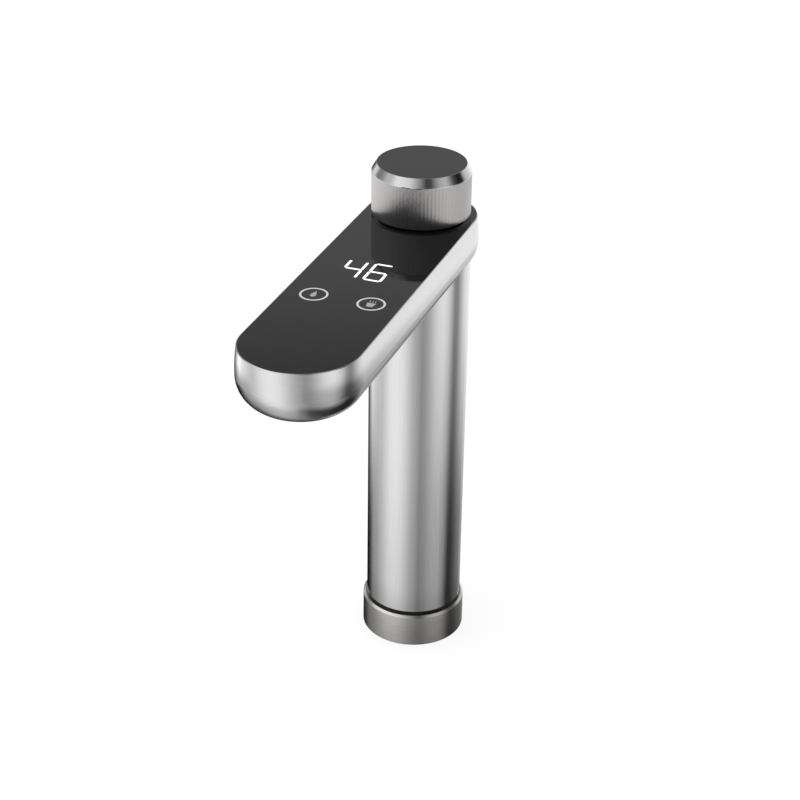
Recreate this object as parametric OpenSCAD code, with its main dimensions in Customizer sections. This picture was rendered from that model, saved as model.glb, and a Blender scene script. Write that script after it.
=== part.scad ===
// Drinking water filter tap with a digital spout and a push-and-turn dial on top.
// The origin is the centre of the base's underside, +Z is up and the spout points to -Y.

/* [Base] */
// Outer diameter of the base ring
base_d = 47.4; // [46.6:0.1:54]
// Height of the base ring above the deck
base_h = 16; // [15:0.5:20]
// Chamfer on the ring's top edge
base_chamfer = 1; // [0.4:0.1:1.2]
// Thread diameter of the shank that screws into the base
shank_d = 28; // [24:1:30]
// Pitch of that thread
shank_pitch = 1.5; // [1:0.25:2]
// Depth of the threaded socket
shank_depth = 14; // [10:0.5:18]
// Diameter of the post's flange
flange_d = 42; // [40:0.5:43]
// Thickness of the post's flange
flange_t = 6; // [4:0.5:7]
// Thickness of the deck gasket
gasket_t = 1.6; // [1:0.1:2.5]
// Width of the deck gasket's band
gasket_w = 5; // [3:0.25:5.5]

/* [Swivel] */
// Diameter of the post's journal that the tube turns on
journal_d = 35; // [33:0.5:36]
// Diameter of the opening through the post
post_bore_d = 25; // [20:0.5:26]
// Height of the dark seam between the base ring and the tube
seam_h = 1.8; // [1:0.1:3]
// Depth of the seam behind the tube's surface
seam_depth = 1; // [0.6:0.05:1.2]
// Depth that the slide ring lies in the base ring
slide_ring_sink = 1.2; // [0.5:0.1:2]
// Radial clearance of a running fit
run_gap = 0.05; // [0.03:0.01:0.09]
// Axial play of the swivel
axial_play = 0.1; // [0.05:0.01:0.3]
// Length of the bush that the journal turns in
bush_l = 29; // [26:1:36]
// Diameter of the stop pin
pin_d = 3; // [2:0.5:4]
// Swivel of the spout to each side, in degrees
swivel_side = 90; // [45:5:150]
// Section of the journal's O-rings
seal_section = 1.6; // [1.2:0.1:2]
// Thickness of the retaining clip and of the washer under it
clip_t = 1.2; // [0.8:0.1:1.6]
// Depth of the clip's groove
clip_groove = 1.15; // [0.8:0.05:1.4]
// Width of the gap between the clip's ends
clip_gap = 10; // [6:0.5:14]

/* [Body tube] */
// Outer diameter of the body tube
tube_d = 44; // [42:0.25:44.5]
// Wall of the body tube
tube_wall = 1.5; // [1:0.1:1.8]

/* [Water inlet] */
// Gap between the post and the inlet carrier
carrier_gap = 4; // [2:0.5:20]
// Thickness of the inlet carrier
carrier_h = 12; // [11:0.5:16]
// Distance of the inlet from the tube's axis
inlet_y = 3; // [2:0.1:3.4]
// Diameter of the water line that pushes into the inlet
line_d = 6.35; // [6:0.05:6.5]
// Depth that the water line goes into the inlet
line_depth = 10; // [8:0.5:12]
// Across flats of the inlet fitting
fitting_af = 14; // [12:0.5:15]
// Diameter of the signal lead's socket
socket_d = 6.4; // [5:0.2:7]
// Diameter of the signal lead inside the tube
lead_d = 3; // [2:0.25:4]
// Distance of the lead from the tube's axis
lead_y = 9.6; // [9:0.1:12]

/* [Water pipe] */
// Outer diameter of the water pipe
pipe_d = 8; // [6:0.25:8.5]
// Wall of the water pipe
pipe_wall = 1; // [0.6:0.1:1.4]
// Bend radius of the pipe's centre line
bend_r = 10; // [9.5:0.1:10.5]
// Distance of the pipe's upright part from the tube's axis
pipe_y = 9; // [8.6:0.1:9.2]
// Gap between the pipe and the board above it
pipe_gap = 0.72; // [0.4:0.02:1.6]

/* [Spout] */
// Height of the spout's top above the deck
spout_z = 210.1; // [190:0.5:240]
// Distance from the tube's axis to the centre of the spout's round end
reach = 133.3; // [125:0.5:160]
// Overhang of the spout beyond the tube on each side
spout_overhang = 3.05; // [2.7:0.05:3.6]
// Bulge of each flank beyond the top edge
flank_bulge = 0.75; // [0.4:0.05:1.2]
// Depth of the widest place below the top
flank_h = 11.7; // [10.5:0.1:13]
// Radius of the spout's lower edges
under_r = 12.8; // [12:0.1:13.2]
// Wall of the spout's casting
shell_wall = 3; // [2.4:0.1:3.2]
// Width of the ledge that carries the touch panel
ledge_w = 2.3; // [2:0.1:3.5]
// Width of the steel rim round the touch panel
rim_w = 0.4; // [0.35:0.05:1]
// Small chamfer round the top edge
rim_chamfer = 0.2; // [0.1:0.05:0.3]

/* [Touch panel] */
// Thickness of the touch panel
panel_t = 2; // [1.5:0.1:2.5]
// Depth of the panel's face below the rim
panel_sink = 0.1; // [0.05:0.05:0.3]
// Gap round the panel
panel_gap = 0.1; // [0.05:0.01:0.12]
// Thickness of the adhesive gasket under the panel
panel_gasket_t = 0.5; // [0.3:0.1:0.8]
// Distance from the outlet's axis to the middle of the digits
digits_inset = 70.3; // [66:0.1:76]
// Distance from the outlet's axis to the touch keys
keys_inset = 41.6; // [38:0.1:48]
// Distance between the two touch keys
keys_pitch = 24; // [20:0.5:26]

/* [Control board] */
// Width of the digit module
module_w = 26; // [20:0.5:30]
// Length of the digit module
module_l = 17; // [14:0.5:20]
// Thickness of the board
board_t = 1.6; // [1:0.1:1.8]
// Gap between the board's edge and the side of the hollow
board_side = 4.5; // [3:0.1:6]
// Gap between the board's front end and the outlet nozzle
board_gap = 5.3; // [4.5:0.1:9]
// Distance of the front screws from the board's front end
screw_inset = 10; // [8:0.5:12]
// Distance of the rear screws from the digit module
screw_back = 8.5; // [5:0.5:12]
// Distance between the two rows of board screws
screw_row = 24; // [20:0.5:26]
// Diameter of the board screws
screw_d = 2.2; // [1.8:0.1:2.6]
// Length of the screws below the board
screw_l = 5; // [3:0.5:6]
// Diameter of the touch springs
spring_d = 6.4; // [5:0.2:8]
// Wall of the touch springs
spring_wall = 0.6; // [0.4:0.1:1]

/* [Outlet] */
// Diameter of the outlet nozzle
nozzle_d = 20; // [18:0.25:20.5]
// Wall of the outlet nozzle
nozzle_wall = 1.8; // [1.4:0.1:2.2]
// Width of the nozzle's flange inside the spout
nozzle_flange_w = 2.25; // [1.9:0.05:2.4]
// Length of the nozzle below the spout
nozzle_drop = 2; // [1:0.1:2]
// Depth of the straightener below the nozzle's mouth
straightener_sink = 1; // [0.5:0.1:2]
// Thickness of the flow straightener
straightener_h = 5; // [3:0.25:6]
// Diameter of a hole in the straightener
hole_d = 1.5; // [1:0.1:1.8]
// Distance between those holes
hole_pitch = 2.2; // [2.1:0.05:2.3]

/* [Dial] */
// Diameter of the dial over its ridges
dial_d = 42.8; // [40:0.1:43.5]
// Height of the ridged side
dial_side_h = 18.2; // [17.6:0.1:24]
// Gap between the resting dial and the panel
dial_gap = 1.3; // [1.2:0.05:1.6]
// Travel of the dial when it is pushed
press_travel = 1; // [0.5:0.05:1.05]
// Wall of the dial's sleeve
dial_wall = 2; // [1.6:0.1:2.4]
// Number of ridges round the dial
ridges = 84; // [60:1:110]
// Depth of the grooves between the ridges
ridge_depth = 0.12; // [0.08:0.02:0.3]
// Height of the polished chamfer ring
trim_h = 4; // [2:0.1:4.5]
// Diameter of the dark disc on top
disc_d = 38.3; // [36:0.1:38.4]
// Thickness of the dark disc
disc_t = 2; // [1.2:0.1:2.2]

/* [Encoder] */
// Side of the encoder's square body
encoder_w = 12.5; // [12:0.1:13]
// Wall of the encoder's body
encoder_wall = 0.8; // [0.6:0.1:1]
// Diameter of the rotor inside the encoder
rotor_d = 10; // [9.5:0.1:10.5]
// Diameter of the threaded neck of the encoder
neck_d = 7; // [6.8:0.1:8]
// Diameter of the dial's shaft
shaft_d = 6; // [5.6:0.05:6.1]
// Height of the encoder's nut
nut_h = 2; // [1.5:0.1:2.4]
// Across flats of the encoder's nut
nut_af = 10; // [9.5:0.5:12]
// Thickness of the washer under the nut
washer_t = 0.4; // [0.3:0.1:0.6]

/* [Hidden] */
$fn = 64;
fine = 160;
tiny = 0.01;
edge = 0.2;
slip = 0.1;
over = 1;

steel = [0.72, 0.72, 0.71];
polished = [0.86, 0.86, 0.85];
brass = [0.76, 0.62, 0.34];
black = [0.07, 0.07, 0.08];
graphite = [0.28, 0.28, 0.29];
white = [0.92, 0.92, 0.9];
green = [0.1, 0.36, 0.2];
rubber = [0.12, 0.12, 0.12];

// Base and swivel, from the deck up
base_r = base_d / 2;
flange_r = flange_d / 2;
journal_r = journal_d / 2;
tube_r = tube_d / 2;
tube_ri = tube_r - tube_wall;
shank_r = (shank_d - 1.0825 * shank_pitch) / 2;
tube_z = base_h + seam_h;
land_z = base_h - slide_ring_sink;
slide_r = tube_r - seam_depth;
gasket_r = flange_r - 1;
bush_z = tube_z;
washer_z = bush_z + bush_l + axial_play;
clip_z = washer_z + clip_t + axial_play / 2;
clip_r = journal_r - clip_groove;
wall_space = 0.9;
clip_band = tube_ri - wall_space - clip_r;
clip_shoulder = 4.8;
post_h = clip_z + clip_t + clip_shoulder;
seal_r = journal_r - seal_section - slip;
seal_groove = seal_section + 0.3;
seal_zs = [bush_z + 0.22 * bush_l, bush_z + 0.78 * bush_l];
pin_z = bush_z + bush_l / 2;
pin_out = tube_ri - wall_space;
pin_in = post_bore_d / 2 + 0.5;
pin_gap = 0.2;
stop_angle = swivel_side + asin((pin_d / 2 + pin_gap) / journal_r);

// Inlet, inside the tube
line_fit = 0.025;
line_r = line_d / 2 + line_fit;
thread_r = 5;
thread_l = 4;
channel_r = 2.2;
inlet_washer_t = 1;
collet_h = 1.4;
collet_w = 2;
carrier_z = post_h + carrier_gap;
fitting_z = carrier_z - inlet_washer_t - line_depth;
hex_h = 6;
boss_h = 4;
boss_wall = 2.5;
pipe_r = pipe_d / 2;
pipe_foot = carrier_z + carrier_h - 5;
channel_z = carrier_z + 6;
socket_r = socket_d / 2;
socket_wall = 0.9;
socket_depth = 5;
socket_rim = 0.8;
socket_drop = 2.4;

// Spout casting and what lies in it
max_hw = tube_r + spout_overhang;
top_hw = max_hw - flank_bulge;
flank_r = (pow(flank_h, 2) + pow(max_hw - top_hw, 2)) / (2 * (max_hw - top_hw));
wide_z = spout_z - flank_h;
under_z = wide_z - under_r;
flat_hw = max_hw - under_r;
meet_z = wide_z - sqrt(pow(under_r, 2) - pow(tube_r - flat_hw, 2));
tube_top = meet_z + 0.6;
neck_t = 2;
spigot_l = 15;
spigot_ri = tube_ri - 3;
neck_fit = 0.03;
panel_hw = top_hw - rim_w - panel_gap;
hollow_hw = panel_hw - ledge_w;
floor_z = under_z + shell_wall;
panel_z = spout_z - panel_sink - panel_t;
panel_top = panel_z + panel_t;
ledge_z = panel_z - panel_gasket_t;
neck_gap = 0.3;
slot_hw = pipe_r + 0.4;
pipe_z = tube_top + neck_gap + pipe_r;
bend_y = pipe_y + bend_r;
digits_y = reach - digits_inset;
keys_y = reach - keys_inset;

// Board under the panel
board_z = pipe_z + pipe_r + pipe_gap;
board_top = board_z + board_t;
module_h = panel_z - board_top;
board_hw = hollow_hw - board_side;
board_front = reach - nozzle_d / 2 - board_gap;
board_rear = lead_y + 4;
screw_ys = [digits_y - module_l / 2 - screw_back, board_front - screw_inset];
screw_x = screw_row / 2;
screw_r = screw_d / 2;
boss_r = screw_r + 1.9;
boss_root = 0.8;
screw_head_h = 1.6;
slot_w = 0.5;

// Outlet at the end of the spout
nozzle_r = nozzle_d / 2;
nozzle_ri = nozzle_r - nozzle_wall;
nozzle_z = under_z - nozzle_drop;
nozzle_flange_r = nozzle_r + nozzle_flange_w;
nozzle_flange_t = 2;
seal_groove_r = nozzle_flange_r - 0.4;
seal_groove_w = 1.1;
seal_t = 0.9;
chamber_wall = 1.6;
straightener_z = nozzle_z + straightener_sink;
chamber_z = straightener_z + straightener_h;
chamber_top = pipe_z + pipe_r + 1 + chamber_wall;
port_r = pipe_r + 1.2;
port_front = reach - nozzle_r - board_gap + 0.6;
pipe_end = reach - nozzle_ri + 0.6;
hole_rings = 3;

// Dial and encoder, on the tube's axis
dial_r = dial_d / 2;
dial_ri = dial_r - ridge_depth - dial_wall;
dial_z = panel_top + dial_gap;
dial_top = dial_z + dial_side_h;
web_t = 2.5;
disc_r = disc_d / 2;
disc_sink = 0.1;
disc_z = dial_top + trim_h - disc_sink - disc_t;
trim_lip = 0.15;
trim_seat = 1.6;
trim_band = 0.4;
trim_fit = 0.02;
neck_r = neck_d / 2;
washer_rim = 0.8;
neck_top = panel_top + washer_t + nut_h + 1;
shaft_r = shaft_d / 2;
hub_r = shaft_r + 3;
hub_z = neck_top + press_travel + 0.4;
shaft_top = dial_top - web_t + 0.4;
rotor_r = rotor_d / 2;
cell_z = board_top + encoder_wall;
cell_top = panel_z - 1;
rotor_play = 0.2;
dome_t = 0.2;
dome_h = press_travel + dome_t;

// A ring between two radii, standing on height z
module ring(r_out, r_in, h, z = 0) {
  translate([0, 0, z]) difference() {
    cylinder(r = r_out, h = h);
    translate([0, 0, -1]) cylinder(r = r_in, h = h + 2);
  }
}

// An outline with round ends that lies along the spout
module stadium(hw, rear = 0, front = reach) {
  translate([0, -rear]) circle(r = hw, $fn = fine);
  translate([0, -front]) circle(r = hw, $fn = fine);
  translate([-hw, -front]) square([2 * hw, front - rear]);
}

// Half of the spout's cross-section: the distance from its middle plane, and the height
module spout_half() {
  intersection() {
    translate([max_hw - flank_r, wide_z]) circle(r = flank_r, $fn = 2 * fine);
    translate([flat_hw, wide_z]) square([under_r + 1, flank_h - rim_chamfer]);
  }
  intersection() {
    translate([flat_hw, wide_z]) circle(r = under_r, $fn = fine);
    translate([flat_hw, under_z]) square([under_r, under_r]);
  }
  translate([0, under_z]) square([flat_hw, spout_z - under_z]);
  polygon([
    [flat_hw, spout_z - rim_chamfer], [top_hw, spout_z - rim_chamfer],
    [top_hw - rim_chamfer, spout_z], [flat_hw, spout_z]
  ]);
}

// Half of the hollow's cross-section, up to the ledge that carries the panel
module hollow_half() {
  translate([0, wide_z]) square([hollow_hw, ledge_z - wide_z + tiny]);
  translate([0, floor_z]) square([flat_hw, wide_z - floor_z + tiny]);
  intersection() {
    translate([flat_hw, wide_z]) circle(r = under_r - shell_wall, $fn = fine);
    translate([flat_hw, floor_z]) square([hollow_hw - flat_hw, wide_z - floor_z]);
  }
}

// A solid with round ends: children(0) is half of its cross-section
module round_ended() {
  rotate_extrude(angle = 180) children(0);
  translate([0, -reach, 0]) rotate([0, 0, 180]) rotate_extrude(angle = 180) children(0);
  rotate([90, 0, 0]) linear_extrude(height = reach) {
    children(0);
    mirror([1, 0]) children(0);
  }
}

module base_ring() {
  color(steel) rotate_extrude() polygon([
    [flange_r, 0], [base_r - edge, 0], [base_r, edge], [base_r, base_h - base_chamfer],
    [base_r - base_chamfer, base_h], [slide_r + run_gap, base_h], [slide_r + run_gap, land_z],
    [journal_r + run_gap, land_z], [journal_r + run_gap, flange_t], [flange_r, flange_t]
  ]);
}

module base_post() {
  color(brass) difference() {
    union() {
      cylinder(r = flange_r, h = flange_t);
      cylinder(r = journal_r, h = post_h);
    }
    translate([0, 0, -1]) cylinder(r = shank_r, h = shank_depth + 1);
    cylinder(r = post_bore_d / 2, h = post_h + 1);
    ring(gasket_r, gasket_r - gasket_w, gasket_t + 1, -1);
    for (z = seal_zs) ring(journal_r + over, seal_r, seal_groove, z - seal_groove / 2);
    ring(journal_r + over, clip_r, clip_t + slip, clip_z - slip / 2);
    translate([0, 0, pin_z]) rotate([-90, 0, 0]) cylinder(r = pin_d / 2, h = journal_r + 1);
  }
}

module deck_gasket() {
  color(rubber) ring(gasket_r, gasket_r - gasket_w, gasket_t);
}

module slide_ring() {
  color(black) ring(slide_r, journal_r + slip, tube_z - land_z, land_z);
}

module stop_pin() {
  color(polished) translate([0, pin_in, pin_z]) rotate([-90, 0, 0])
    cylinder(r = pin_d / 2, h = pin_out - pin_in);
}

module post_seals() {
  color(rubber) for (z = seal_zs) translate([0, 0, z]) rotate_extrude()
    translate([seal_r + seal_section / 2, 0]) circle(r = seal_section / 2, $fn = 24);
}

module retaining_clip() {
  color(steel) difference() {
    ring(clip_r + clip_band, clip_r + 0.05, clip_t, clip_z);
    translate([-clip_gap / 2, -tube_r, clip_z - 1]) cube([clip_gap, tube_r, clip_t + 2]);
  }
}

module thrust_washer() {
  color(white) ring(tube_ri - 2 * slip, journal_r + slip, clip_t, washer_z);
}

module body_tube() {
  color(steel) ring(tube_r, tube_ri, tube_top - tube_z, tube_z);
}

module tube_bush() {
  color(white) difference() {
    ring(tube_ri, journal_r + run_gap, bush_l, bush_z);
    translate([0, 0, pin_z - pin_d / 2 - pin_gap]) rotate([0, 0, 90 - stop_angle])
      rotate_extrude(angle = 2 * stop_angle)
        translate([journal_r - 1, 0]) square([tube_ri - journal_r + 2, pin_d + 2 * pin_gap]);
  }
}

module inlet_carrier() {
  color(brass) difference() {
    union() {
      translate([0, 0, carrier_z]) cylinder(r = tube_ri, h = carrier_h);
      translate([0, -pipe_y, carrier_z]) cylinder(r = pipe_r + boss_wall, h = carrier_h + boss_h);
    }
    translate([0, -inlet_y, carrier_z - 1]) cylinder(r = thread_r, h = thread_l + 1.5);
    translate([0, -inlet_y, carrier_z]) cylinder(r = channel_r, h = channel_z - carrier_z);
    translate([0, -pipe_y, pipe_foot]) cylinder(r = pipe_r, h = carrier_h + boss_h);
    translate([0, -pipe_y, channel_z]) cylinder(r = pipe_r - pipe_wall, h = carrier_h);
    translate([0, -inlet_y + channel_r, channel_z]) rotate([90, 0, 0])
      cylinder(r = channel_r, h = pipe_y - inlet_y + 2 * channel_r);
    translate([0, lead_y, carrier_z - 1]) cylinder(r = socket_r, h = carrier_h + 2);
  }
}

module inlet_fitting() {
  hex_z = fitting_z + line_depth - hex_h;
  color(graphite) translate([0, -inlet_y, 0]) difference() {
    union() {
      translate([0, 0, fitting_z]) cylinder(r = fitting_af / 2 - 1, h = line_depth);
      translate([0, 0, hex_z]) cylinder(r = fitting_af / 2 / cos(30), h = hex_h, $fn = 6);
      translate([0, 0, hex_z]) cylinder(r = thread_r, h = hex_h + inlet_washer_t + thread_l);
    }
    translate([0, 0, fitting_z - 1]) cylinder(r = line_r, h = line_depth + 1);
    translate([0, 0, fitting_z]) cylinder(r = channel_r, h = line_depth + inlet_washer_t + thread_l + 1);
  }
}

module fitting_collet() {
  color(white) translate([0, -inlet_y, 0]) ring(line_r + collet_w, line_r, collet_h, fitting_z - collet_h);
}

module inlet_washer() {
  color(rubber) translate([0, -inlet_y, 0])
    ring(fitting_af / 2, thread_r, inlet_washer_t, carrier_z - inlet_washer_t);
}

module lead_socket() {
  color(black) translate([0, lead_y, 0]) difference() {
    union() {
      translate([0, 0, carrier_z - socket_drop]) cylinder(r = socket_r, h = carrier_h + socket_drop);
      translate([0, 0, carrier_z - socket_rim]) cylinder(r = socket_r + socket_rim, h = socket_rim);
    }
    translate([0, 0, carrier_z - socket_drop - over])
      cylinder(r = socket_r - socket_wall, h = socket_depth + over);
  }
}

module signal_lead() {
  color(black) translate([0, lead_y, carrier_z + carrier_h])
    cylinder(r = lead_d / 2, h = board_z - carrier_z - carrier_h);
}

// The pipe's whole run at radius r: upright, elbow, then along the spout
module pipe_run(r, past = 0) {
  translate([0, -pipe_y, pipe_foot - past]) cylinder(r = r, h = pipe_z - bend_r - pipe_foot + past);
  translate([0, -bend_y, pipe_z - bend_r]) rotate([0, -90, 0])
    rotate_extrude(angle = 90) translate([bend_r, 0]) circle(r = r);
  translate([0, -bend_y, pipe_z]) rotate([90, 0, 0])
    cylinder(r = r, h = pipe_end - bend_y + past);
}

module water_pipe() {
  color(white) difference() {
    pipe_run(pipe_r);
    pipe_run(pipe_r - pipe_wall, 1);
  }
}

module spout_shell() {
  color(steel) difference() {
    union() {
      difference() {
        round_ended() spout_half();
        difference() {
          round_ended() hollow_half();
          translate([0, 0, under_z - 1]) cylinder(r = max_hw, h = tube_top + neck_t - under_z + 1);
        }
        translate([0, 0, ledge_z]) linear_extrude(height = spout_z) stadium(panel_hw + panel_gap);
        translate([0, 0, under_z - 1]) cylinder(r = tube_r + neck_fit, h = tube_top - under_z + 1);
        translate([0, -reach, under_z - 1]) cylinder(r = nozzle_r, h = shell_wall + 2);
      }
      translate([0, 0, tube_top - spigot_l]) cylinder(r = tube_ri, h = spigot_l + tiny);
      for (x = [-screw_x, screw_x], y = screw_ys)
        translate([x, -y, floor_z - boss_root]) cylinder(r = boss_r, h = board_z - floor_z + boss_root);
    }
    translate([0, 0, tube_top - spigot_l - 1]) cylinder(r = spigot_ri, h = spigot_l + neck_t + 3);
    translate([-slot_hw, -max_hw - over, tube_top]) cube([2 * slot_hw, max_hw + over, neck_t + over]);
    for (x = [-screw_x, screw_x], y = screw_ys)
      translate([x, -y, board_z - screw_l]) cylinder(r = screw_r, h = screw_l + 1);
  }
}

module touch_panel() {
  color(black) translate([0, 0, panel_z]) difference() {
    linear_extrude(height = panel_t) stadium(panel_hw);
    translate([0, 0, -1]) cylinder(r = neck_r + 2 * slip, h = panel_t + 2);
  }
}

module panel_gasket() {
  color(rubber) translate([0, 0, ledge_z]) linear_extrude(height = panel_gasket_t) difference() {
    stadium(panel_hw - slip);
    stadium(hollow_hw + 2 * slip);
  }
}

module control_board() {
  color(green) translate([0, 0, board_z]) difference() {
    linear_extrude(height = board_t) stadium(board_hw, board_hw - board_rear, board_front - board_hw);
    for (x = [-screw_x, screw_x], y = screw_ys)
      translate([x, -y, -1]) cylinder(r = screw_r + slip, h = board_t + 2);
  }
}

module digit_module() {
  color(graphite) translate([-module_w / 2, -digits_y - module_l / 2, board_top])
    cube([module_w, module_l, module_h]);
}

module touch_springs() {
  color(polished) for (x = [-keys_pitch / 2, keys_pitch / 2])
    translate([x, -keys_y, 0]) ring(spring_d / 2, spring_d / 2 - spring_wall, module_h, board_top);
}

module board_screws() {
  color(steel) for (x = [-screw_x, screw_x], y = screw_ys) translate([x, -y, 0]) difference() {
    union() {
      translate([0, 0, board_z - screw_l]) cylinder(r = screw_r, h = board_t + screw_l);
      translate([0, 0, board_top]) cylinder(r = screw_d, h = screw_head_h);
    }
    for (a = [-45, 45]) translate([0, 0, board_top + screw_head_h]) rotate([0, 0, a])
      cube([slot_w, screw_d * 1.6, screw_head_h], center = true);
  }
}

module outlet_nozzle() {
  color(polished) translate([0, -reach, 0]) difference() {
    union() {
      translate([0, 0, nozzle_z]) cylinder(r = nozzle_r, h = chamber_top - nozzle_z);
      translate([0, 0, floor_z]) cylinder(r = nozzle_flange_r, h = nozzle_flange_t);
      translate([0, reach - port_front, pipe_z]) rotate([90, 0, 0])
        cylinder(r = port_r, h = reach - port_front - nozzle_ri);
    }
    translate([0, 0, nozzle_z - 1]) cylinder(r = nozzle_ri, h = chamber_z - nozzle_z + 1);
    cylinder(r = nozzle_ri - 1, h = chamber_top - chamber_wall);
    ring(seal_groove_r, seal_groove_r - seal_groove_w, seal_t + 1, floor_z - 1);
    translate([0, reach - port_front + 1, pipe_z]) rotate([90, 0, 0])
      cylinder(r = pipe_r, h = pipe_end - port_front + 1);
    translate([0, reach - port_front + 1, pipe_z]) rotate([90, 0, 0])
      cylinder(r = pipe_r - pipe_wall, h = reach - port_front + 1);
  }
}

module nozzle_seal() {
  color(rubber) translate([0, -reach, 0])
    ring(seal_groove_r, seal_groove_r - seal_groove_w, seal_t, floor_z);
}

// A disc with a hexagonal field of straight holes
module flow_straightener() {
  color(white) translate([0, -reach, straightener_z]) difference() {
    cylinder(r = nozzle_ri, h = straightener_h);
    for (q = [-hole_rings:hole_rings], s = [-hole_rings:hole_rings])
      if (abs(q + s) <= hole_rings)
        translate([hole_pitch * (q + s / 2), hole_pitch * s * sqrt(3) / 2, -1])
          cylinder(r = hole_d / 2, h = straightener_h + 2, $fn = 24);
  }
}

module encoder_housing() {
  color(graphite) difference() {
    union() {
      translate([-encoder_w / 2, -encoder_w / 2, board_top]) cube([encoder_w, encoder_w, module_h]);
      translate([0, 0, panel_z - 0.5]) cylinder(r = neck_r, h = neck_top - panel_z + 0.5);
    }
    translate([0, 0, cell_z]) cylinder(r = rotor_r + run_gap, h = cell_top - cell_z);
    translate([0, 0, cell_z]) cylinder(r = shaft_r + run_gap, h = neck_top);
  }
}

module encoder_washer() {
  color(steel) ring(nut_af / 2 + washer_rim, neck_r + slip, washer_t, panel_top);
}

module encoder_nut() {
  color(steel) translate([0, 0, panel_top + washer_t]) difference() {
    cylinder(r = nut_af / 2 / cos(30), h = nut_h, $fn = 6);
    translate([0, 0, -1]) cylinder(r = neck_r, h = nut_h + 2);
  }
}

module encoder_rotor() {
  color(white) ring(rotor_r, shaft_r + run_gap, cell_top - cell_z - 2 * rotor_play, cell_z + rotor_play);
}

module encoder_shaft() {
  color(steel) translate([0, 0, cell_z + dome_h]) cylinder(r = shaft_r, h = shaft_top - cell_z - dome_h);
}

// The domed snap disc under the shaft
module press_dome() {
  foot_r = shaft_r - 2 * slip;
  color(polished) translate([0, 0, cell_z]) rotate_extrude() polygon([
    [0, dome_h - dome_t], [foot_r / 2, dome_h - dome_t], [foot_r - 1.5 * dome_t, 0], [foot_r, 0],
    [foot_r / 2 + dome_t, dome_h], [0, dome_h]
  ]);
}

// The ridged outline: each ridge has a narrow flat top and foot, with long sloping flanks between
module ridged_outline() {
  step = 360 / ridges;
  polygon([
    for (i = [0:ridges - 1], k = [0:3])
      let (a = step * (i + [0, 0.35, 0.5, 0.85][k]), r = dial_r - (k == 0 || k == 3 ? ridge_depth : 0))
        [r * cos(a), r * sin(a)]
  ]);
}

module dial_sleeve() {
  color(steel) difference() {
    translate([0, 0, dial_z]) linear_extrude(height = dial_side_h) ridged_outline();
    difference() {
      translate([0, 0, dial_z - over]) cylinder(r = dial_ri, h = dial_side_h - web_t + over);
      translate([0, 0, hub_z]) cylinder(r = hub_r, h = dial_side_h);
    }
    translate([0, 0, hub_z - 1]) cylinder(r = shaft_r, h = shaft_top - hub_z + 1);
  }
}

module dial_trim_ring() {
  color(polished) rotate_extrude() polygon([
    [disc_r - trim_seat, dial_top], [dial_r - slip, dial_top], [dial_r, dial_top + slip],
    [dial_r, dial_top + trim_band], [disc_r + trim_lip, dial_top + trim_h],
    [disc_r + trim_fit, dial_top + trim_h], [disc_r + trim_fit, disc_z], [disc_r - trim_seat, disc_z]
  ]);
}

module dial_cap() {
  color(graphite) rotate_extrude() polygon([
    [0, disc_z], [disc_r, disc_z], [disc_r, disc_z + disc_t - edge],
    [disc_r - edge, disc_z + disc_t], [0, disc_z + disc_t]
  ]);
}

base_ring();
base_post();
deck_gasket();
slide_ring();
stop_pin();
post_seals();
retaining_clip();
thrust_washer();
body_tube();
tube_bush();
inlet_carrier();
inlet_fitting();
fitting_collet();
inlet_washer();
lead_socket();
signal_lead();
water_pipe();
spout_shell();
touch_panel();
panel_gasket();
control_board();
digit_module();
touch_springs();
board_screws();
outlet_nozzle();
nozzle_seal();
flow_straightener();
encoder_housing();
encoder_washer();
encoder_nut();
encoder_rotor();
encoder_shaft();
press_dome();
dial_sleeve();
dial_trim_ring();
dial_cap();
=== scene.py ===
"""Finishes, lit display, touch keys and photo stage for the drinking water filter tap.

The add-on dresses the tap's ready solids, which stay as they are, with brushed steel, black glass,
machined brass and moulded plastic. It adds the thin lit and printed signs that lie on the touch
panel, and the snap dome under the dial.
"""
import math

import bmesh
import bpy
from bpy.props import FloatProperty, FloatVectorProperty, IntProperty, PointerProperty
from bpy.types import NodeSocket, Operator, Panel, PropertyGroup
from mathutils import Matrix, Vector


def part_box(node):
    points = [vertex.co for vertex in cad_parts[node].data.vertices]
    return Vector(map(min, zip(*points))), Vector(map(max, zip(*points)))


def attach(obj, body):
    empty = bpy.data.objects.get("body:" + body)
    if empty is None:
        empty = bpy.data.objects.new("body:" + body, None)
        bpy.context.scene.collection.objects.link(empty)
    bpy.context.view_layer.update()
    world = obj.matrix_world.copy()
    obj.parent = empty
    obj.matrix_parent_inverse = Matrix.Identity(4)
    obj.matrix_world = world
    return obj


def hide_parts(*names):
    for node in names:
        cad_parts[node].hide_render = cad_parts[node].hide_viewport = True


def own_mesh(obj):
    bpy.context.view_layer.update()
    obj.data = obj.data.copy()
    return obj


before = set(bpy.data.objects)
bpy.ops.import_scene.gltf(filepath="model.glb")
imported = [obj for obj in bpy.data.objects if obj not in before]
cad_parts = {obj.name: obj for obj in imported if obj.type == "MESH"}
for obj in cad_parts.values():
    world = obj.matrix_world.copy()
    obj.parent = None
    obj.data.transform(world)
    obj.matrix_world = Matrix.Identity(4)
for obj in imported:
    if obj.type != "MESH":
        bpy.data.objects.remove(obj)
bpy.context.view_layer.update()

bl_info = {
    "name": "Drinking Water Tap",
    "version": (1, 0, 0),
    "blender": (4, 5, 0),
    "location": "3D View > Sidebar > Tap",
    "description": "Finishes, lit display and photo stage for a tap with a push-and-turn dial",
    "category": "Object",
}

MM = 0.001


# ---------------------------------------------------------------- settings

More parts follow.
